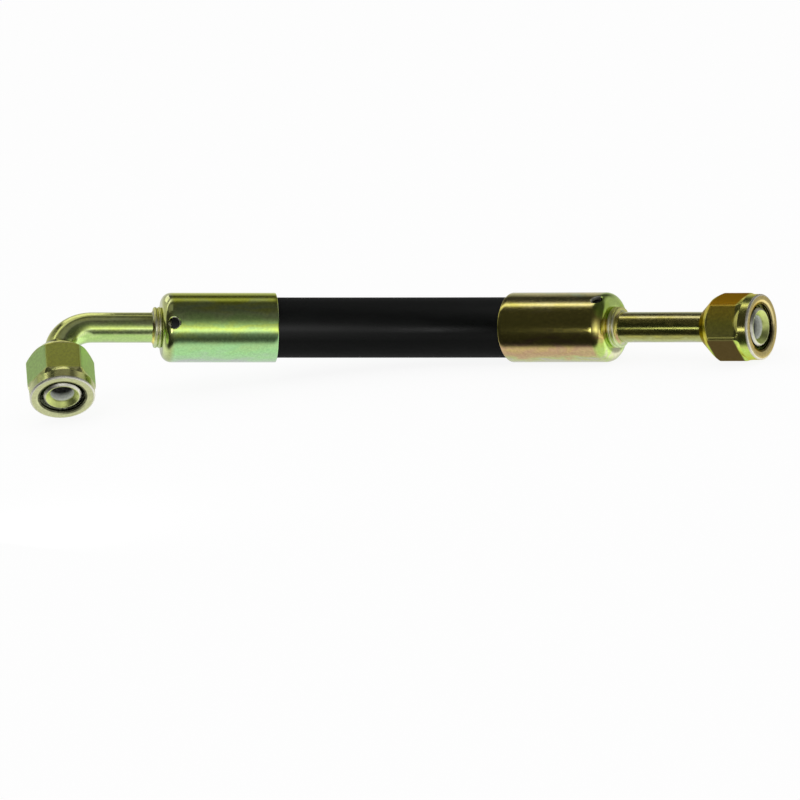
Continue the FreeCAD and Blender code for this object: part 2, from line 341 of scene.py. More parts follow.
def sight_hole_drills(turn):
    """Two opposite drills, from just under the hose's skin outward, that widen at the ferrule's skin."""
    tip, butt = HOSE_RADIUS - DRILL_PAST_WALL, FERRULE_RADIUS + 2 * DRILL_PAST_WALL
    cone_foot = FERRULE_RADIUS - SIGHT_HOLE_BEVEL
    cone_height = 1.5 * SIGHT_HOLE_BEVEL
    profile = [(0, tip), (SIGHT_HOLE_RADIUS, tip), (SIGHT_HOLE_RADIUS, cone_foot),
               (SIGHT_HOLE_RADIUS + cone_height, cone_foot + cone_height),
               (SIGHT_HOLE_RADIUS + cone_height, butt), (0, butt)]
    bm = bmesh.new()
    verts = [bm.verts.new((radius, 0, height)) for radius, height in profile]
    for before, after in zip(verts, verts[1:]):
        bm.edges.new((before, after))
    spun(bm, ROUND_STEPS // 2)
    along = pose(Z * (FERRULE_LENGTH - SIGHT_HOLE_FROM_END), X, Z)
    bmesh.ops.transform(bm, matrix=along, verts=bm.verts)
    twin = bmesh.ops.duplicate(bm, geom=bm.faces[:])["geom"]
    bmesh.ops.rotate(bm, cent=ORIGIN, matrix=Matrix.Rotation(math.pi, 3, "Z"),
                     verts=[item for item in twin if isinstance(item, bmesh.types.BMVert)])
    bmesh.ops.rotate(bm, cent=ORIGIN, matrix=Matrix.Rotation(turn, 3, "Z"), verts=bm.verts)
    return made("sight_hole_drills", bm)


def drill_out(piece, drills):
    """Cuts the drills' shape out of a piece and takes the drills away."""
    cut = piece.modifiers.new("sight holes", "BOOLEAN")
    cut.operation = "DIFFERENCE"
    cut.object = drills
    bpy.context.view_layer.update()
    cut_piece = piece.evaluated_get(bpy.context.evaluated_depsgraph_get())
    drilled = bpy.data.meshes.new_from_object(cut_piece)
    piece.modifiers.clear()
    piece.data = drilled
    bpy.data.objects.remove(drills)


# Nipple and braze

def barb(crest):
    """The corners of one barb, from the foot of its slope to the step behind its crest."""
    radius = STEM_RADIUS + BARB_HEIGHT
    return [(STEM_RADIUS, crest - BARB_SLOPE_SHARE * BARB_PITCH), (radius, crest),
            (radius, crest + BARB_HEIGHT), (STEM_RADIUS, crest + BARB_HEIGHT)]


def nipple(name):
    """The barbed stem with its lock groove, and the collar with two rounded beads."""
    lock_top = FERRULE_LENGTH - FERRULE_END_WALL
    bead = (COLLAR_LENGTH - COLLAR_GROOVE) / 2
    groove_floor, groove_middle = COLLAR_RADIUS - COLLAR_GROOVE, FERRULE_LENGTH + bead + COLLAR_GROOVE / 2
    socket = TUBE_RADIUS + SEAT_GAP
    corners = [(NIPPLE_BORE, STEM_TIP), (STEM_RADIUS, STEM_TIP, STEM_TIP_ROUND)]
    for i in range(BARBS):
        corners += barb(FIRST_BARB + i * BARB_PITCH)
    corners += [(STEM_RADIUS, HOSE_INSERTION), (LOCK_RADIUS, HOSE_INSERTION),
                (LOCK_RADIUS, lock_top), (NECK_RADIUS, lock_top),
                (NECK_RADIUS, FERRULE_LENGTH), (COLLAR_RADIUS, FERRULE_LENGTH, COLLAR_BEAD_ROUND),
                (COLLAR_RADIUS, FERRULE_LENGTH + bead, GROOVE_EDGE_ROUND),
                (groove_floor, groove_middle, GROOVE_FLOOR_ROUND),
                (COLLAR_RADIUS, COLLAR_TOP - bead, GROOVE_EDGE_ROUND),
                (COLLAR_RADIUS, COLLAR_TOP, COLLAR_BEAD_ROUND),
                (socket, COLLAR_TOP), (socket, TUBE_FOOT), (NIPPLE_BORE, TUBE_FOOT)]
    return made(name, spun(outlined(corners), ROUND_STEPS))


def braze(name):
    """The fillet of braze metal between collar and tube, its top edge a little uneven round the joint."""
    hollow = BRAZE_HOLLOW * BRAZE_LEG
    bm = outlined([(TUBE_RADIUS, COLLAR_TOP), (TUBE_RADIUS + BRAZE_LEG, COLLAR_TOP),
                   (TUBE_RADIUS + hollow, COLLAR_TOP + hollow, BRAZE_HOLLOW_ROUND),
                   (TUBE_RADIUS, COLLAR_TOP + BRAZE_LEG)])
    spun(bm, ROUND_STEPS)
    for vert in bm.verts:
        on_tube = vert.co.xy.length < TUBE_RADIUS + TOUCH
        if on_tube and vert.co.z > COLLAR_TOP + TOUCH:
            angle = math.atan2(vert.co.y, vert.co.x)
            vert.co.z -= BRAZE_DIP * (1 + math.sin(3 * angle) * math.cos(5 * angle + 1))
    return made(name, bm)


# Tubes

def tube(name, nose, row):
    """A tube, straight as drawn, from its foot in the nipple to its flared nose."""
    wall = TUBE_RADIUS - TUBE_BORE
    rise = 1 / math.tan(FLARE_ANGLE)
    lip_inside = FLARE_LIP - wall * math.cos(FLARE_ANGLE)
    lip_outside = nose - wall * math.sin(FLARE_ANGLE)
    bm = outlined([(TUBE_BORE, TUBE_FOOT, TUBE_FOOT_ROUND), (TUBE_RADIUS, TUBE_FOOT, TUBE_FOOT_ROUND),
                   (TUBE_RADIUS, lip_outside - (FLARE_LIP - TUBE_RADIUS) * rise, FLARE_ROOT_ROUND),
                   (FLARE_LIP, lip_outside, FLARE_LIP_ROUND), (lip_inside, nose, FLARE_NOSE_ROUND),
                   (TUBE_BORE, nose - (lip_inside - TUBE_BORE) * rise, FLARE_ROOT_ROUND)])
    refined(bm, TUBE_FOOT, nose, row)
    return made(name, spun(bm, ROUND_STEPS))


def elbow_tube_length():
    """How far the elbow's nose is from its ferrule's mouth, along the tube's middle."""
    arc = ELBOW_BEND_RADIUS * QUARTER_TURN
    return LEG_FROM_MOUTH - 2 * ELBOW_BEND_RADIUS + arc + ELBOW_NOSE_FROM_AXIS


def round_the_elbow(point):
    """Bends a point of the straight tube round the elbow, towards X."""
    bend_foot = LEG_FROM_MOUTH - ELBOW_BEND_RADIUS
    past = point.z - bend_foot
    if past <= 0:
        return point.copy()
    turn = min(past / ELBOW_BEND_RADIUS, QUARTER_TURN)
    onward = max(0, past - ELBOW_BEND_RADIUS * QUARTER_TURN)
    centre = Vector((ELBOW_BEND_RADIUS, 0, bend_foot))
    out = Vector((-math.cos(turn), 0, math.sin(turn)))
    ahead = Vector((math.sin(turn), 0, math.cos(turn)))
    return centre + out * (ELBOW_BEND_RADIUS - point.x) + ahead * onward + Y * point.y


# Swivel nuts

# A radius within the nut's wall, which parts its bore from its outside, and how far from the turned
# edges of each the milling and the thread keep
NUT_MID_WALL = 8.3
OUTSIDE_MARGIN = 0.2
BORE_MARGIN = 0.1


def smooth_min(a, b, reach):
    """The smaller of two numbers, rounded where they are within one reach of each other."""
    share = max(reach - abs(a - b), 0) / reach
    return min(a, b) - share * share * reach / 4


def hexagon_radius(angle):
    """How far out the flats are at an angle, with the corners rounded."""
    sixth = math.pi / 3
    off = (angle + sixth / 2) % sixth - sixth / 2
    half = NUT_FLATS / 2
    near = half / math.cos(off)
    beside = half / math.cos(sixth - abs(off))
    return smooth_min(near, beside, NUT_CORNER_ROUNDING)


def milled(radius, angle, height):
    """The radius of a point of the turned outside once the flats are cut, and run out at the collar."""
    bar = smooth_min(radius, hexagon_radius(angle), NUT_EDGE_ROUNDING)
    run_out = (NUT_COLLAR_FOOT - height) / NUT_RUN_OUT_LENGTH
    shelf = NUT_COLLAR_RADIUS - NUT_RUN_OUT_HEIGHT * max(run_out, 0) if run_out < 1 else 0
    return -smooth_min(-bar, -shelf, NUT_EDGE_ROUNDING)


def threaded(radius, angle, height):
    """The radius of a point of the bore once the thread is cut, which fades out at both its ends."""
    wave = (height / THREAD_PITCH - angle / (2 * math.pi)) % 1
    slope = abs(2 * wave - 1) * THREAD_STEEPNESS - (THREAD_STEEPNESS - 1) / 2
    fade = min((height - THREAD_FOOT) / THREAD_PITCH, (THREAD_TOP - height) / THREAD_PITCH, 1)
    return max(radius, THREAD_MINOR + THREAD_HEIGHT * fade * min(max(slope, 0), 1))


def swivel_nut(name, turn):
    """The nut: rear cone, hexagon with bevelled corners, round collar, and the thread inside."""
    bm = outlined([(NUT_HOLE, NUT_REAR, NUT_REAR_ROUND), (NUT_REAR_RADIUS, NUT_REAR, NUT_REAR_ROUND),
                   (NUT_CORNER, NUT_CONE_TOP), (NUT_CORNER, NUT_COLLAR_FOOT - NUT_CORNER_BEVEL_LENGTH),
                   (NUT_COLLAR_RADIUS, NUT_COLLAR_FOOT),
                   (NUT_COLLAR_RADIUS, NUT_PAST_NOSE, NUT_RIM_ROUND),
                   (THREAD_MINOR + THREAD_CHAMFER, NUT_PAST_NOSE, THREAD_CHAMFER_ROUND),
                   (THREAD_MINOR, THREAD_TOP), (THREAD_MINOR, SEAT_TOP), (NUT_HOLE, SEAT_FOOT)])
    past_rear = NUT_REAR_RADIUS + OUTSIDE_MARGIN
    refined(bm, NUT_REAR + OUTSIDE_MARGIN, NUT_COLLAR_FOOT + OUTSIDE_MARGIN, NUT_ROW, past_rear)
    refined(bm, SEAT_TOP, NUT_PAST_NOSE - BORE_MARGIN, THREAD_PITCH / ROWS_IN_A_THREAD)
    spun(bm, NUT_STEPS)
    for vert in bm.verts:
        radius, height = vert.co.xy.length, vert.co.z
        angle = math.atan2(vert.co.y, vert.co.x) - turn
        in_bore = radius < NUT_MID_WALL and height > SEAT_FOOT - BORE_MARGIN
        wanted = radius
        if radius > past_rear and height < NUT_COLLAR_FOOT + TOUCH and not in_bore:
            wanted = milled(radius, angle, height)
        elif in_bore and THREAD_FOOT < height < THREAD_TOP:
            wanted = threaded(radius, angle, height)
        vert.co.x *= wanted / radius
        vert.co.y *= wanted / radius
    return made(name, bm)


# Hose

def hose_route():
    """The hose's middle line: straight in each ferrule, and one gentle bend between them."""
    reach = HOSE_BEND_RADIUS * math.tan(HOSE_TURN / 4)
    far_mouth = straight_seat()
    drawn = [Z * -HOSE_INSERTION, Z * -reach, Z * reach,
             far_mouth @ (Z * -reach), far_mouth @ (Z * reach), far_mouth @ (Z * HOSE_INSERTION)]
    return [HOSE @ point * METRES for point in drawn]


def followed(route):
    """Points read along the smooth spline that a route controls."""
    curve = bpy.data.curves.new("hose_line", "CURVE")
    curve.dimensions = "3D"
    spline = curve.splines.new("NURBS")
    spline.points.add(len(route) - 1)
    for point, place in zip(spline.points, route):
        point.co = (*place, 1)
    spline.order_u = 3
    spline.use_endpoint_u = True
    spline.resolution_u = 24
    line = bpy.data.objects.new("hose_line", curve)
    bpy.context.scene.collection.objects.link(line)
    bpy.context.view_layer.update()
    mesh = bpy.data.meshes.new_from_object(line)
    points = [vert.co.copy() for vert in mesh.vertices]
    bpy.data.objects.remove(line)
    bpy.data.meshes.remove(mesh)
    return points


def distances(points):
    """How far along a line each of its points is."""
    reached = [0.0]
    for before, after in zip(points, points[1:]):
        reached.append(reached[-1] + (after - before).length)
    return reached


def hose(name, points):
    """The hose's outer cover, straight as drawn, and how its points follow the line."""
    reached = distances(points)
    length = reached[-1] / METRES
    inside = HOSE_RADIUS - COVER_WALL
    ends = [(inside, 0), (HOSE_RADIUS, 0), (HOSE_RADIUS, length), (inside, length)]
    bm = outlined([(*end, HOSE_END_ROUND) for end in ends])
    refined(bm, 0, length, HOSE_ROW)
    piece = made(name, spun(bm, ROUND_STEPS))
    normal = (HOSE.to_3x3() @ Y).normalized()

    def bent(point):
        place = point.z * METRES
        i = min(max(bisect.bisect(reached, place), 1), len(points) - 1)
        ahead = (points[i] - points[i - 1]).normalized()
        middle = points[i - 1] + ahead * (place - reached[i - 1])
        side = normal.cross(ahead)
        return middle / METRES + side * point.x + normal * point.y
    return piece, bent


# Shader nodes

# A noise seldom leaves this range, and its roughness is how much its finer waves count
NOISE_LOW, NOISE_HIGH = 0.3, 0.7
NOISE_ROUGHNESS = 0.55


def add(tree, kind, inputs=None, **settings):
    """A shader node with its settings, and its sockets linked or filled."""
    node = tree.nodes.new("ShaderNode" + kind)
    for key, value in settings.items():
        setattr(node, key, value)
    for key, value in (inputs or {}).items():
        if isinstance(value, bpy.types.NodeSocket):
            tree.links.new(value, node.inputs[key])
        else:
            node.inputs[key].default_value = value
    return node


def maths(tree, operation, *values):
    """The result of one sum on numbers or sockets."""
    return add(tree, "Math", dict(enumerate(values)), operation=operation).outputs[0]


def vector_maths(tree, operation, *values):
    """The vector that one sum on vectors gives."""
    return add(tree, "VectorMath", dict(enumerate(values)), operation=operation).outputs["Vector"]


def towards(tree, vector, way):
    """How far a vector reaches along a direction."""
    return add(tree, "VectorMath", {0: vector, 1: way}, operation="DOT_PRODUCT").outputs["Value"]


def ranged(tree, value, low, high, start=NOISE_LOW, end=NOISE_HIGH):
    """Goes from low to high as the value goes from start to end, and stays there beyond them."""
    node = add(tree, "MapRange", {"Value": value, "From Min": start, "From Max": end,
                                  "To Min": low, "To Max": high})
    return node.outputs["Result"]


def rising(tree, value, origin, span):
    """Goes from 0 to 1 as the value crosses a span (start, end) that is measured from an origin."""
    return ranged(tree, value, 0, 1, origin + span[0], origin + span[1])


def falling(tree, value, origin, span):
    """Goes from 1 to 0 as the value crosses a span (start, end) that is measured from an origin."""
    return ranged(tree, value, 1, 0, origin + span[0], origin + span[1])


def noise(tree, vector, scale, detail, distortion=0.0, stretch=(1, 1, 1), shift=(0, 0, 0)):
    """A noise between 0 and 1."""
    mapped = add(tree, "Mapping", {"Vector": vector, "Scale": stretch, "Location": shift})
    node = add(tree, "TexNoise", {"Vector": mapped.outputs["Vector"], "Scale": scale, "Detail": detail,
                                  "Roughness": NOISE_ROUGHNESS, "Distortion": distortion})
    return node.outputs["Fac"]


def ramp(tree, factor, stops):
    """A colour ramp through stops (position, colour)."""
    node = add(tree, "ValToRGB", {"Fac": factor})
    elements = node.color_ramp.elements
    while len(elements) < len(stops):
        elements.new(0.5)
    for element, (position, colour) in zip(elements, stops):
        element.position = position
        element.color = (*colour, 1)
    return node.outputs["Color"]


def by_stops(tree, value, stops):
    """A colour or a grey level over a value between -1 and 1, from stops (value, colour or level)."""
    share = add(tree, "MapRange", {"Value": value, "From Min": -1.0, "From Max": 1.0})
    colours = [((place + 1) / 2, level if isinstance(level, tuple) else (level,) * 3)
               for place, level in stops]
    return ramp(tree, share.outputs["Result"], colours)


def mixed(tree, factor, first, second):
    """One colour going over into another."""
    node = add(tree, "Mix", {"Factor": factor}, data_type="RGBA")
    for key, value in (("A", first), ("B", second)):
        if isinstance(value, tuple):
            node.inputs[key].default_value = (*value, 1)
        else:
            tree.links.new(value, node.inputs[key])
    return node.outputs["Result"]


def times(tree, colour, factor):
    """A colour times a grey factor."""
    node = add(tree, "Mix", {"Factor": 1.0}, data_type="RGBA", blend_type="MULTIPLY")
    tree.links.new(colour, node.inputs["A"])
    tree.links.new(factor, node.inputs["B"])
    return node.outputs["Result"]


def bumped(tree, height, depth):
    """The normal over a height of that depth, in millimetres."""
    node = add(tree, "Bump", {"Height": height, "Strength": 1.0, "Distance": depth * METRES})
    return node.outputs["Normal"]


def new_material(name):
    """An empty node material: the material, its tree and its output."""
    material = bpy.data.materials.new(name)
    material.use_nodes = True
    tree = material.node_tree
    tree.nodes.clear()
    return material, tree, add(tree, "OutputMaterial")


def surface(tree, output, colour, roughness, normal, **constants):
    """Gives the material its surface shader, with its constants on the shader's own sockets."""
    shader = add(tree, "BsdfPrincipled", {"Base Color": colour, "Roughness": roughness, "Normal": normal,
                                          **constants})
    tree.links.new(shader.outputs["BSDF"], output.inputs["Surface"])


def drawn_point(tree):
    """Where a point lies on its piece as it was drawn, in millimetres."""
    return add(tree, "Attribute", attribute_name="drawn").outputs["Vector"]


def around(tree, drawn, angle):
    """How far a point's side of a piece faces an angle, from -1 to 1, and its radius."""
    outward = vector_maths(tree, "MULTIPLY", drawn, (1, 1, 0))
    side = towards(tree, vector_maths(tree, "NORMALIZE", outward), (math.cos(angle), math.sin(angle), 0))
    return side, add(tree, "VectorMath", {0: outward}, operation="LENGTH").outputs["Value"]


# Yellow passivated zinc: its wear, which on a nut's rim and round the sight holes is also a painted
# highlight, its marks, and how much its specks darken and lighten it
TINT_DRIFT = 0.2
SPECKS = (0.88, 1.08)
NUT_SPECKS = (0.86, 1.1)
MARKS_DEPTH = 0.004
TURNED_MARKS = (0.05, 0.05, 9.0)
DRAWN_MARKS = (4.0, 4.0, 0.06)
NUT_MARKS = (0.3, 0.3, 4.0)
CAST_MARKS = (2, 2, 2)
WORN_ZINC_AND_GLINT = (0.93, 0.92, 0.80)
WORN_DULLNESS = 0.3
BARE_STEEL = (0.82, 0.85, 0.80)
FLARE_CONE = (0.74, 0.83, 0.28)

# Roughness, from the smoothest specks to the dullest
TURNED_SHINE = (0.12, 0.17)
COLLAR_SHINE = (0.36, 0.42)
CAST_SHINE = (0.2, 0.3)
DRAWN_SHINE = (0.16, 0.23)

# Tints from a fitting's underside, -1, to its top, 1
GREEN_TINTS = [(-1.0, (0.60, 0.68, 0.60)), (-0.9, (0.55, 0.80, 0.50)), (-0.6, (0.50, 0.91, 0.40)),
               (-0.3, (0.55, 0.85, 0.35)), (0.0, (0.75, 0.95, 0.20)), (0.2, (0.62, 0.95, 0.30)),
               (0.5, (0.75, 0.90, 0.40)), (0.8, (0.90, 0.98, 0.13)), (1.0, (0.85, 0.95, 0.12))]
GOLD_TINTS = [(-1.0, (0.62, 0.62, 0.42)), (-0.93, (0.60, 0.66, 0.28)), (-0.8, (0.66, 0.52, 0.25)),
              (-0.6, (0.64, 0.43, 0.24)), (-0.3, (0.72, 0.62, 0.17)), (0.0, (0.80, 0.72, 0.17)),
              (0.5, (0.85, 0.75, 0.18)), (0.75, (1.00, 0.87, 0.38)), (0.92, (0.78, 0.72, 0.28)),
              (1.0, (0.75, 0.78, 0.40))]
# The light stop at -0.3 is painted light, lifting a band where the mirrored studio is dark.
GREEN_TUBE = [(-1.0, (0.56, 0.68, 0.36)), (-0.9, (0.56, 0.75, 0.32)), (-0.6, (0.60, 0.88, 0.28)),
              (-0.3, (0.80, 0.98, 0.42)), (0.0, (0.75, 0.92, 0.25)), (0.2, (0.70, 0.90, 0.30)),
              (0.5, (0.80, 0.88, 0.40)), (0.8, (0.90, 0.95, 0.30)), (1.0, (0.88, 0.93, 0.30))]
# The dark band from -0.2 to 0.1 is painted shade, dimming a lamp's reflection along the tube's middle.
GOLD_TUBE = [(-1.0, (0.58, 0.60, 0.40)), (-0.93, (0.56, 0.62, 0.28)), (-0.8, (0.57, 0.60, 0.24)),
             (-0.6, (0.42, 0.42, 0.13)), (-0.3, (0.72, 0.68, 0.15)), (-0.2, (0.42, 0.44, 0.11)),
             (0.1, (0.38, 0.40, 0.10)), (0.22, (0.76, 0.72, 0.17)), (0.5, (0.85, 0.76, 0.20)),
             (0.75, (1.00, 0.90, 0.40)), (0.92, (0.80, 0.75, 0.28)), (1.0, (0.75, 0.78, 0.40))]
GREEN_SHOULDER = [(-1.0, (0.50, 0.58, 0.28)), (-0.4, (0.60, 0.72, 0.27)), (0.0, (0.80, 0.88, 0.28)),
                  (0.5, (0.85, 0.92, 0.32)), (1.0, (0.90, 0.94, 0.50))]
# On the gold shoulder the bright gold about the middle, -0.1 to 0.15, is a painted highlight over the
# plating's tint.
GOLD_SHOULDER = [(-1.0, (0.70, 0.70, 0.45)), (-0.8, (0.62, 0.84, 0.24)), (-0.55, (0.62, 0.80, 0.18)),
                 (-0.35, (0.62, 0.44, 0.16)), (-0.1, (1.00, 0.90, 0.26)), (0.15, (1.00, 0.88, 0.24)),
                 (0.4, (0.66, 0.56, 0.14)), (0.65, (0.60, 0.84, 0.12)), (1.0, (0.66, 0.86, 0.24))]
# The collar's tints go whitish about the middle, -0.2 to 0.3: a painted highlight on its beads.
COLLAR_TINTS = [(-1.0, (0.68, 0.80, 0.42)), (-0.5, (0.88, 0.94, 0.46)), (-0.2, (1.00, 0.97, 0.70)),
                (0.3, (1.00, 0.97, 0.68)), (0.6, (0.92, 0.90, 0.34)), (1.0, (0.84, 0.84, 0.26))]

# A nut's tints, from the side that faces away from its plating's angle, -1, to the side that faces it, 1,
# then those of the face round its thread and of a glancing reflection
# Below -0.42 the gold flats are near black: painted shade on the nut's lower side.
GOLD_FLATS = [(-0.42, (0.11, 0.08, 0.036)), (-0.33, (0.62, 0.60, 0.16)), (0.1, (0.72, 0.68, 0.12)),
              (0.45, (0.98, 0.78, 0.10)), (0.60, (1.00, 0.76, 0.10)), (0.66, (0.75, 0.42, 0.04)),
              (0.8, (0.58, 0.31, 0.03)), (1.0, (0.50, 0.27, 0.03))]
GOLD_TURNED = [(-1.0, (0.66, 0.90, 0.20)), (-0.6, (0.66, 0.90, 0.18)), (-0.3, (0.68, 0.64, 0.18)),
               (0.3, (0.78, 0.75, 0.20)), (0.7, (0.86, 0.86, 0.22)), (1.0, (0.80, 0.95, 0.28))]
GOLD_FACE = (0.78, 0.66, 0.30)
GOLD_EDGE = (0.9, 0.72, 0.35, 1)
GREEN_FLATS = [(0.85, (0.60, 0.85, 0.33)), (0.88, (0.90, 0.95, 0.20))]
GREEN_TURNED = [(-1.0, (0.80, 0.88, 0.60)), (0.3, (0.82, 0.88, 0.50)), (0.7, (0.55, 0.64, 0.22)),
                (0.9, (0.95, 0.96, 0.36)), (1.0, (1.0, 0.98, 0.38))]
GREEN_FACE = (0.70, 0.73, 0.40)
GREEN_EDGE = (1.0, 1.0, 0.8, 1)

# Where tints and wear change, as spans (start, end) in millimetres.
# On a ferrule: along it from its shoulder's foot, and outward from its skin.
SHOULDER_START = (-0.5, 1.0)
# Where the sight holes' worn edge with its painted glint ends, and how far under the skin it reaches
SHOULDER_WEAR_END = (0.2, 0.8)
BELOW_SKIN = (-0.25, -0.1)

# On a tube: along it from its nose, and outward from its bore
FLARE_START = (-2.9, -2.3)
# Where the bore's painted shade grows
BORE_GETS_DARK = (-4.7, -3.3)
PAST_BORE = (0.1, 0.3)

# On a nut: along it from the tube's nose, and outward from its collar's skin and from the middle of its wall
NUT_FACE_START = (-0.6, -0.3)
# Where the painted shade in the thread fades out, at the nut's face
THREAD_SHADE_END = (-0.12, 0.0)
# Where the rim's wear, with its painted highlight, starts in from the collar's skin
RIM_START = (-0.65, -0.4)
MID_WALL = (-0.1, 0.1)


def plating_start(name, facing, shift):
    """A plated material, and for each of its points the place, height, drifting side, radius and specks."""
    material, tree, output = new_material(name)
    drawn = drawn_point(tree)
    height = add(tree, "SeparateXYZ", {"Vector": drawn}).outputs["Z"]
    side, radius = around(tree, drawn, facing)
    clouds = noise(tree, drawn, scale=0.25, detail=3, distortion=0.6, stretch=(1, 1, 0.4), shift=shift)
    drifted = maths(tree, "ADD", side, ranged(tree, clouds, -TINT_DRIFT, TINT_DRIFT))
    specks = noise(tree, drawn, scale=1.2, detail=4, distortion=0.3, shift=shift)
    return material, tree, output, drawn, height, drifted, radius, specks


def marked(tree, drawn, stretch, shift):
    """The normal over the fine marks of a tool."""
    marks = noise(tree, drawn, scale=1.0, detail=3, stretch=stretch, shift=shift)
    return bumped(tree, marks, MARKS_DEPTH)


def plated_steel(name, facing, tints, shine, shift, marks=TURNED_MARKS, shoulder=None):
    """Plating tinted round the piece, and on a ferrule a shoulder of its own tints and sight holes whose worn
    edges also carry a painted glint.
    """
    material, tree, output, drawn, height, side, radius, specks = plating_start(name, facing, shift)
    colour = by_stops(tree, side, tints)
    roughness = ranged(tree, specks, *shine)
    if shoulder:
        foot = FERRULE_LENGTH - FERRULE_SHOULDER
        on_shoulder = rising(tree, height, foot, SHOULDER_START)
        colour = mixed(tree, on_shoulder, colour, by_stops(tree, side, shoulder))
        # The sight holes' edges, on the half towards the mouth, are worn bare and lightened further as a
        # painted glint
        below_skin = falling(tree, radius, FERRULE_RADIUS, BELOW_SKIN)
        hole_wear_and_glint = maths(tree, "MULTIPLY", below_skin, falling(tree, height, foot, SHOULDER_WEAR_END))
        colour = mixed(tree, hole_wear_and_glint, colour, WORN_ZINC_AND_GLINT)
        roughness = maths(tree, "MULTIPLY_ADD", hole_wear_and_glint, WORN_DULLNESS, roughness)
    colour = times(tree, colour, ranged(tree, specks, *SPECKS))
    surface(tree, output, colour, roughness, marked(tree, drawn, marks, shift), Metallic=1.0)
    return material


# Over the flare from the bore's edge, 0, to the lip, 1
FLARE_TINTS = [(0.05, BARE_STEEL), (0.12, FLARE_CONE), (0.62, FLARE_CONE), (0.78, WORN_ZINC_AND_GLINT)]
FLARE_DULLNESS = 0.22
BORE_METALLIC = 0.15
# How much painted shade darkens the bore further in, where little light reaches
BORE_PAINTED_SHADE = 0.9


def plated_tube(name, facing, tints, nose, shift):
    """The plating on a tube: worn brighter at the flared nose, and dull steel with painted shade that darkens
    down the bore.
    """
    material, tree, output, drawn, height, side, radius, specks = plating_start(name, facing, shift)
    flare = ramp(tree, ranged(tree, radius, 0, 1, TUBE_BORE, FLARE_LIP), FLARE_TINTS)
    in_bore = falling(tree, radius, TUBE_BORE, PAST_BORE)
    at_nose = maths(tree, "MAXIMUM", in_bore, rising(tree, height, nose, FLARE_START))
    colour = mixed(tree, at_nose, by_stops(tree, side, tints), flare)
    # Painted shade, growing down the bore away from the nose
    painted_bore_shade = maths(tree, "MULTIPLY", in_bore, falling(tree, height, nose, BORE_GETS_DARK))
    shade = maths(tree, "SUBTRACT", ranged(tree, specks, *SPECKS),
                  maths(tree, "MULTIPLY", painted_bore_shade, BORE_PAINTED_SHADE))
    colour = times(tree, colour, shade)
    roughness = maths(tree, "MULTIPLY_ADD", at_nose, FLARE_DULLNESS, ranged(tree, specks, *DRAWN_SHINE))
    surface(tree, output, colour, roughness, marked(tree, drawn, DRAWN_MARKS, shift),
            Metallic=ranged(tree, in_bore, 1, BORE_METALLIC, 0, 1))
    return material


# Where a nut's drawn flats are, by height from the tube's nose, and how rough they and the rest are
FLATS_MIDDLE = -9.6
FLATS_HALF = 4.9
FLATS_END = (-0.3, 0.3)
GREEN_FLATS_ROUGHNESS = 0.42
GOLD_FLATS_ROUGHNESS = 0.36
TURNED_ROUGHNESS = 0.2
NUT_ROUGHNESS_DRIFT = 0.03
# How much painted shade darkens the thread, a recess where little light reaches
THREAD_PAINTED_SHADE = 0.82


def plated_nut(name, facing, flats, turned, face, edge, flats_roughness, shift):
    """The plating on a nut: matt flats, shinier turned ends, a worn rim round its face lightened by a painted
    highlight, and painted shade in its thread.
    """
    material, tree, output, drawn, height, side, radius, specks = plating_start(name, facing, shift)
    straight_side = around(tree, drawn, facing)[0]
    off_middle = maths(tree, "ABSOLUTE", maths(tree, "SUBTRACT", height, FLATS_MIDDLE))
    at_ends = rising(tree, off_middle, FLATS_HALF, FLATS_END)
    colour = mixed(tree, at_ends, by_stops(tree, straight_side, flats), by_stops(tree, side, turned))
    at_mouth = rising(tree, height, 0, NUT_FACE_START)
    # The rim round the face is worn bare zinc, lightened further as a painted highlight along it
    rim = maths(tree, "MULTIPLY", rising(tree, radius, NUT_COLLAR_RADIUS, RIM_START), at_mouth)
    colour = mixed(tree, at_mouth, colour, face)
    colour = mixed(tree, rim, colour, WORN_ZINC_AND_GLINT)
    in_bore = falling(tree, radius, NUT_MID_WALL, MID_WALL)
    # Painted shade in the thread, fading out at the nut's face
    in_thread = maths(tree, "MULTIPLY", in_bore, falling(tree, height, 0, THREAD_SHADE_END))
    shade = maths(tree, "SUBTRACT", ranged(tree, specks, *NUT_SPECKS),
                  maths(tree, "MULTIPLY", in_thread, THREAD_PAINTED_SHADE))
    roughness = maths(tree, "ADD", ranged(tree, at_ends, flats_roughness, TURNED_ROUGHNESS, 0, 1),
                      ranged(tree, specks, -NUT_ROUGHNESS_DRIFT, NUT_ROUGHNESS_DRIFT))
    roughness = maths(tree, "MULTIPLY_ADD", rim, WORN_DULLNESS, roughness)
    surface(tree, output, times(tree, colour, shade), roughness, marked(tree, drawn, NUT_MARKS, shift),
            Metallic=1.0, **{"Specular Tint": edge})
    return material


# Rubber and the hose's inner layers

DARK_RUBBER, WORN_RUBBER = (0.0008, 0.0012, 0.0009), (0.0018, 0.0026, 0.0020)
RUBBER_GRAIN_DEPTH = 0.005
RUBBER_ROUGHNESS_DRIFT = 0.04
RUBBER_GLOSS = 0.45
LAYER_GRAIN_DEPTH = 0.01

# The cover's roughness from its underside, -1, to its top, 1: smoothest a little above halfway up
RUBBER_ROUGHNESS = [(-0.9, 0.97), (-0.45, 0.95), (-0.3, 0.7), (-0.15, 0.36), (0.1, 0.28), (0.4, 0.45),
                    (0.8, 0.7)]


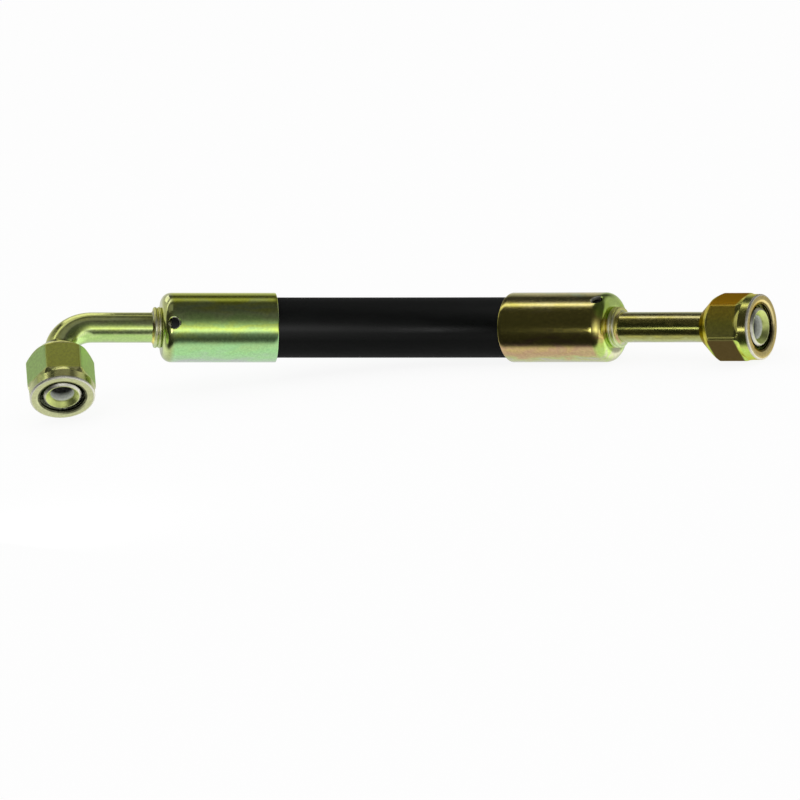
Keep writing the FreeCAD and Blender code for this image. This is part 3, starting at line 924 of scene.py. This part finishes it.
def hose_rubber():
    """The hose's cover: black rubber with a fine matt grain and faint scuffs along it."""
    material, tree, output = new_material("hose_rubber")
    drawn = drawn_point(tree)
    scuffs = noise(tree, drawn, scale=0.35, detail=4, distortion=0.2, stretch=(1, 1, 0.25))
    grain = noise(tree, drawn, scale=4.0, detail=2)
    colour = ramp(tree, scuffs, [(0.3, DARK_RUBBER), (0.75, WORN_RUBBER)])
    by_side = by_stops(tree, around(tree, drawn, -QUARTER_TURN)[0], RUBBER_ROUGHNESS)
    drift = ranged(tree, scuffs, -RUBBER_ROUGHNESS_DRIFT, RUBBER_ROUGHNESS_DRIFT)
    surface(tree, output, colour, maths(tree, "ADD", by_side, drift), bumped(tree, grain, RUBBER_GRAIN_DEPTH),
            **{"Specular IOR Level": RUBBER_GLOSS})
    return material


def hidden_layer(name, low, high, roughness, scale, stretch=(1, 1, 1)):
    """The finish of a layer inside the hose, on the piece's own place in the frame."""
    material, tree, output = new_material(name)
    place = add(tree, "TexCoord").outputs["Object"]
    grain = noise(tree, place, scale / METRES, detail=3, stretch=stretch)
    colour = ramp(tree, grain, [(0.35, low), (0.65, high)])
    surface(tree, output, colour, ranged(tree, grain, roughness, roughness + 0.1),
            bumped(tree, grain, LAYER_GRAIN_DEPTH))
    return material


# The part, dressed

ROOT, ELBOW_NUT, STRAIGHT_NUT = "hose_and_tubes", "elbow_nut", "straight_nut"

# Angles about a fitting's own axis, and the elbow nut's about its own: the side that faces the camera is a
# quarter turn from the top, and one sight hole is a little above it on the elbow, and higher on the other
ELBOW_TOP = ELBOW_CLOCK + QUARTER_TURN
ELBOW_SIGHT_HOLE = ELBOW_CLOCK + math.radians(8)
ELBOW_NUT_FRONT = -QUARTER_TURN
STRAIGHT_TOP = -QUARTER_TURN
STRAIGHT_SIGHT_HOLE = math.radians(-54)

green_turned = plated_steel("green_turned_plating", ELBOW_TOP, GREEN_TINTS, TURNED_SHINE, shift=(3, 1, 0),
                            shoulder=GREEN_SHOULDER)
gold_turned = plated_steel("gold_turned_plating", STRAIGHT_TOP, GOLD_TINTS, TURNED_SHINE, shift=(14, 2, 7),
                           shoulder=GOLD_SHOULDER)
green_collar = plated_steel("green_collar_plating", ELBOW_TOP, COLLAR_TINTS, COLLAR_SHINE, shift=(4, 7, 1))
gold_collar = plated_steel("gold_collar_plating", STRAIGHT_TOP, COLLAR_TINTS, COLLAR_SHINE, shift=(9, 3, 5))
brazed = plated_steel("braze_metal", STRAIGHT_TOP, GOLD_TINTS, CAST_SHINE, shift=(2, 9, 4), marks=CAST_MARKS)
green_drawn = plated_tube("green_drawn_plating", ELBOW_TOP, GREEN_TUBE, elbow_tube_length(), shift=(8, 5, 2))
gold_drawn = plated_tube("gold_drawn_plating", STRAIGHT_TOP, GOLD_TUBE, STRAIGHT_NOSE, shift=(21, 4, 1))
green_nut = plated_nut("green_nut_plating", ELBOW_NUT_FRONT, GREEN_FLATS, GREEN_TURNED, GREEN_FACE,
                       GREEN_EDGE, GREEN_FLATS_ROUGHNESS, shift=(5, 2, 8))
gold_nut = plated_nut("gold_nut_plating", STRAIGHT_TOP, GOLD_FLATS, GOLD_TURNED, GOLD_FACE,
                      GOLD_EDGE, GOLD_FLATS_ROUGHNESS, shift=(1, 6, 3))


def ferrule_and_nipple(end, seat, sight_hole, turned, collar):
    """One end's ferrule, nipple and braze, put in place and dressed."""
    finished(ferrule(end + "_ferrule_shell", sight_hole), seat, ROOT, end + "_ferrule", turned)
    finished(nipple(end + "_nipple_stem"), seat, ROOT, end + "_nipple", collar)
    finished(braze(end + "_braze_fillet"), seat, ROOT, end + "_braze_ring", brazed)


ferrule_and_nipple("elbow", ELBOW, ELBOW_SIGHT_HOLE, green_turned, green_collar)
elbow_tube = tube("elbow_bent_tube", elbow_tube_length(), BENT_TUBE_ROW)
finished(elbow_tube, ELBOW, ROOT, "elbow_tube", green_drawn, round_the_elbow)

ferrule_and_nipple("straight", STRAIGHT, STRAIGHT_SIGHT_HOLE, gold_turned, gold_collar)
straight_tube = tube("straight_plain_tube", STRAIGHT_NOSE, PLAIN_TUBE_ROW)
finished(straight_tube, STRAIGHT, ROOT, "straight_tube", gold_drawn)

elbow_nose = ELBOW @ elbow_leg() @ Matrix.Translation(Z * ELBOW_NOSE_FROM_AXIS)
elbow_nut = swivel_nut("elbow_hexagon_nut", ELBOW_NUT_TURN)
finished(elbow_nut, elbow_nose, ELBOW_NUT, "elbow_swivel_nut", green_nut)

straight_nose = STRAIGHT @ Matrix.Translation(Z * STRAIGHT_NOSE)
straight_nut = swivel_nut("straight_hexagon_nut", STRAIGHT_NUT_TURN)
finished(straight_nut, straight_nose, STRAIGHT_NUT, "straight_swivel_nut", gold_nut)

line = followed(hose_route())
hose_piece, bend_of_hose = hose("rubber_hose", line)
finished(hose_piece, Matrix.Identity(4), ROOT, "hose_cover", hose_rubber(), bend_of_hose)

LAYERS = {
    "hose_inner_tube": hidden_layer("inner_tube_rubber", (0.02, 0.02, 0.02), (0.035, 0.034, 0.033),
                                    roughness=0.55, scale=2),
    "hose_barrier": hidden_layer("barrier_nylon", (0.55, 0.52, 0.44), (0.62, 0.59, 0.51),
                                 roughness=0.3, scale=1),
    "hose_friction_layer": hidden_layer("friction_rubber", (0.015, 0.015, 0.015), (0.03, 0.03, 0.03),
                                        roughness=0.6, scale=3),
    "hose_braid": hidden_layer("braid_yarn", (0.50, 0.48, 0.42), (0.70, 0.68, 0.62),
                               roughness=0.7, scale=3, stretch=(1, 1, 3)),
}
for layer, layer_material in LAYERS.items():
    for material_slot in frame["nodes"][layer].material_slots:
        material_slot.material = layer_material


# Camera

# The photo's size and scale in pixels, and the point in it that is midway between the two mouths
PHOTO_SIZE = 800
PHOTO_SCALE = 3.18
MOUTHS_ACROSS, MOUTHS_DOWN = 394.45, 327.5
VIEW_YAW = math.radians(6.3)
LENS = 900.0
SENSOR = 36.0

to_frame = HOSE.to_3x3()
RIGHT = to_frame @ (Z * math.cos(VIEW_YAW) + X * math.sin(VIEW_YAW))
UP = to_frame @ -Y
TOWARDS_CAMERA = RIGHT.cross(UP)
BETWEEN_MOUTHS = (HOSE @ ORIGIN + STRAIGHT @ ORIGIN) / 2


def seen(across, up, front):
    """A vector given as it is seen in the picture: to the right, up, and towards the camera."""
    return RIGHT * across + UP * up + TOWARDS_CAMERA * front


def place_camera():
    """Sets the camera so that the mouths are where the photo has them, at its scale."""
    half = PHOTO_SIZE / 2
    middle = BETWEEN_MOUTHS + seen(half - MOUTHS_ACROSS, MOUTHS_DOWN - half, 0) / PHOTO_SCALE
    distance = LENS * (PHOTO_SIZE / PHOTO_SCALE) / SENSOR
    camera_data = bpy.data.cameras.new("camera")
    camera_data.lens = LENS
    camera_data.sensor_width = SENSOR
    camera_data.clip_start = 0.1
    camera_data.clip_end = 60
    camera = bpy.data.objects.new("camera", camera_data)
    camera.matrix_world = pose((middle + TOWARDS_CAMERA * distance) * METRES, TOWARDS_CAMERA, RIGHT)
    bpy.context.scene.collection.objects.link(camera)
    bpy.context.scene.camera = camera


# Lamps, floor and studio

FLOOR_HALF = 8.0
FLOOR_COLOUR = (0.9, 0.9, 0.9, 1)
FLOOR_GLOW = 0.9
WHITE = (1, 1, 1, 1)
FILL = 0.85
DARK_STUDIO = 0.022

# How bright the studio in front is to shiny metal: by how far up a reflection points and how far to the
# right, each from -1 to 1, and the two are multiplied
FRONT_BY_RISE = [(-0.75, 0.0), (-0.6, 0.05), (-0.5, 0.10), (-0.42, 0.15), (-0.36, 0.19), (-0.31, 0.35),
                 (-0.26, 0.68), (-0.2, 1.05), (-0.15, 1.2), (-0.09, 1.08), (0.0, 0.76), (0.06, 0.60),
                 (0.17, 0.40), (0.29, 0.24), (0.39, 0.13), (0.5, 0.07), (0.7, 0.05), (0.86, 0.02)]
FRONT_BY_SIDE = [(-0.7, 0.0), (-0.5, 0.25), (-0.2, 0.6), (0.1, 1.0), (0.35, 1.0), (0.6, 0.5), (0.9, 0.2)]

# A bright sheet below: where its edge is, and how bright it is by how far a reflection is past that
SHEET_EDGE = (0.76, -0.55, -1.0)
SHEET = [(-0.3, 0.0), (-0.2, 0.03), (-0.12, 0.10), (-0.05, 0.28), (0.02, 0.48), (0.08, 0.62), (0.15, 0.70),
         (0.3, 0.72)]

# How bright the studio is behind, by how far a reflection points to the front, and beside, by its side
BEHIND = [(-0.95, 0.6), (-0.82, 0.35), (-0.73, 0.2), (-0.6, 0.0)]
BESIDE = [(0.4, 0.0), (0.75, 0.4)]

# Spans of a reflection's rise where the sheet ends and the strip lamp starts, and of how far it points to
# the front where the front starts and the sides end
SHEET_TOP = (-0.15, 0.0)
STRIP_START = (0.45, 0.6)
FRONT_START = (-0.05, 0.1)
SIDES_END = (-0.1, 0.1)

# A strip lamp overhead, in degrees round from the front: where its left end is, how it leans and widens
# to the right, and how bright it is at either end
STRIP_LEFT, STRIP_RIGHT = -0.48, 0.18
STRIP_ANGLE, STRIP_LEAN = 97.0, 18.0
STRIP_WIDTH, STRIP_WIDENING, STRIP_LEAST_WIDTH = 3.0, 6.5, 2.0
STRIP_GLOW_LEFT, STRIP_GLOW_RIGHT = 1.35, 0.1


def lamp(name, place, way, width, height, glow, shiny=True):
    """A soft lamp at a place in millimetres from between the mouths, facing a way."""
    lamp_data = bpy.data.lights.new(name, "AREA")
    lamp_data.shape = "RECTANGLE"
    lamp_data.size, lamp_data.size_y = width * METRES, height * METRES
    lamp_data.energy = glow * math.pi * lamp_data.size * lamp_data.size_y
    holder = bpy.data.objects.new(name, lamp_data)
    holder.matrix_world = pose((BETWEEN_MOUTHS + seen(*place)) * METRES, -seen(*way), RIGHT)
    holder.visible_camera = False
    holder.visible_glossy = shiny
    bpy.context.scene.collection.objects.link(holder)


def studio_floor():
    """The pale floor, white to the camera but for the part's soft shadow."""
    bm = bmesh.new()
    bmesh.ops.create_grid(bm, x_segments=1, y_segments=1, size=FLOOR_HALF)
    floor = made("studio_floor", bm)
    material, tree, output = new_material("pale_floor")
    lit = add(tree, "BsdfDiffuse", {"Color": FLOOR_COLOUR})
    white = add(tree, "Emission", {"Color": WHITE, "Strength": 1.0})
    glow = maths(tree, "MULTIPLY", add(tree, "LightPath").outputs["Is Camera Ray"], FLOOR_GLOW)
    mixed_floor = add(tree, "MixShader", {0: glow, 1: lit.outputs[0], 2: white.outputs[0]})
    tree.links.new(mixed_floor.outputs[0], output.inputs["Surface"])
    floor.data.materials.append(material)
    floor.visible_glossy = False


def overhead(tree, side, rise, front):
    """A strip lamp overhead, narrow and bright on the left and wider and weaker on the right."""
    degrees = maths(tree, "DEGREES", maths(tree, "ARCTAN2", rise, front))
    past_left = maths(tree, "SUBTRACT", side, STRIP_LEFT)
    off = maths(tree, "SUBTRACT", degrees, maths(tree, "MULTIPLY_ADD", past_left, STRIP_LEAN, STRIP_ANGLE))
    width = maths(tree, "MULTIPLY_ADD", past_left, STRIP_WIDENING, STRIP_WIDTH)
    widths_off = maths(tree, "DIVIDE", off, maths(tree, "MAXIMUM", width, STRIP_LEAST_WIDTH))
    squared = maths(tree, "MULTIPLY", widths_off, widths_off)
    bell = maths(tree, "EXPONENT", maths(tree, "MULTIPLY", squared, -0.5))
    glow = ranged(tree, side, STRIP_GLOW_LEFT, STRIP_GLOW_RIGHT, STRIP_LEFT, STRIP_RIGHT)
    high_up = rising(tree, rise, 0, STRIP_START)
    return maths(tree, "MULTIPLY", maths(tree, "MULTIPLY", bell, glow), high_up)


def cards(tree):
    """How bright the studio is in each direction to a reflection in shiny metal."""
    way = add(tree, "TexCoord").outputs["Generated"]
    side, rise, front = (towards(tree, way, axis) for axis in (RIGHT, UP, TOWARDS_CAMERA))
    before = maths(tree, "MULTIPLY", by_stops(tree, rise, FRONT_BY_RISE), by_stops(tree, side, FRONT_BY_SIDE))
    before = maths(tree, "MULTIPLY", before, rising(tree, front, 0, FRONT_START))
    beside = maths(tree, "MULTIPLY", by_stops(tree, maths(tree, "ABSOLUTE", side), BESIDE),
                   falling(tree, front, 0, SIDES_END))
    sheet = maths(tree, "MULTIPLY", by_stops(tree, towards(tree, way, seen(*SHEET_EDGE)), SHEET),
                  falling(tree, rise, 0, SHEET_TOP))
    behind = maths(tree, "MAXIMUM", sheet, by_stops(tree, front, BEHIND))
    glow = DARK_STUDIO
    for share in (before, beside, behind, overhead(tree, side, rise, front)):
        glow = maths(tree, "ADD", glow, share)
    return glow


def studio_world():
    """White to the camera, even to matt surfaces, and to shiny metal a studio with bright cards."""
    world = bpy.data.worlds.new("studio")
    bpy.context.scene.world = world
    world.use_nodes = True
    tree = world.node_tree
    tree.nodes.clear()
    studio, even, white = (add(tree, "Background", {"Color": WHITE, "Strength": strength}).outputs[0]
                           for strength in (cards(tree), FILL, 1.0))
    path = add(tree, "LightPath")
    shiny = maths(tree, "MAXIMUM", path.outputs["Is Glossy Ray"], path.outputs["Is Transmission Ray"])
    lit = add(tree, "MixShader", {0: shiny, 1: even, 2: studio})
    whole = add(tree, "MixShader", {0: path.outputs["Is Camera Ray"], 1: lit.outputs[0], 2: white})
    output = add(tree, "OutputWorld")
    tree.links.new(whole.outputs[0], output.inputs["Surface"])


place_camera()
lamp("left_card", place=(-120, -38, 188), way=(195, 38, -168), width=40, height=40, glow=3.0)
lamp("nut_card", place=(-104, 73, 29), way=(0, -88, -19), width=70, height=36, glow=0.13)
lamp("nut_back_card", place=(-108, 60, -40), way=(4, -75, 50), width=40, height=36, glow=0.8)
lamp("soft_key", place=(-1200, 2400, 1800), way=(1200, -2400, -1800), width=1500, height=1500, glow=1.6,
     shiny=False)
studio_floor()
studio_world()
bpy.context.scene.view_settings.view_transform = "Standard"
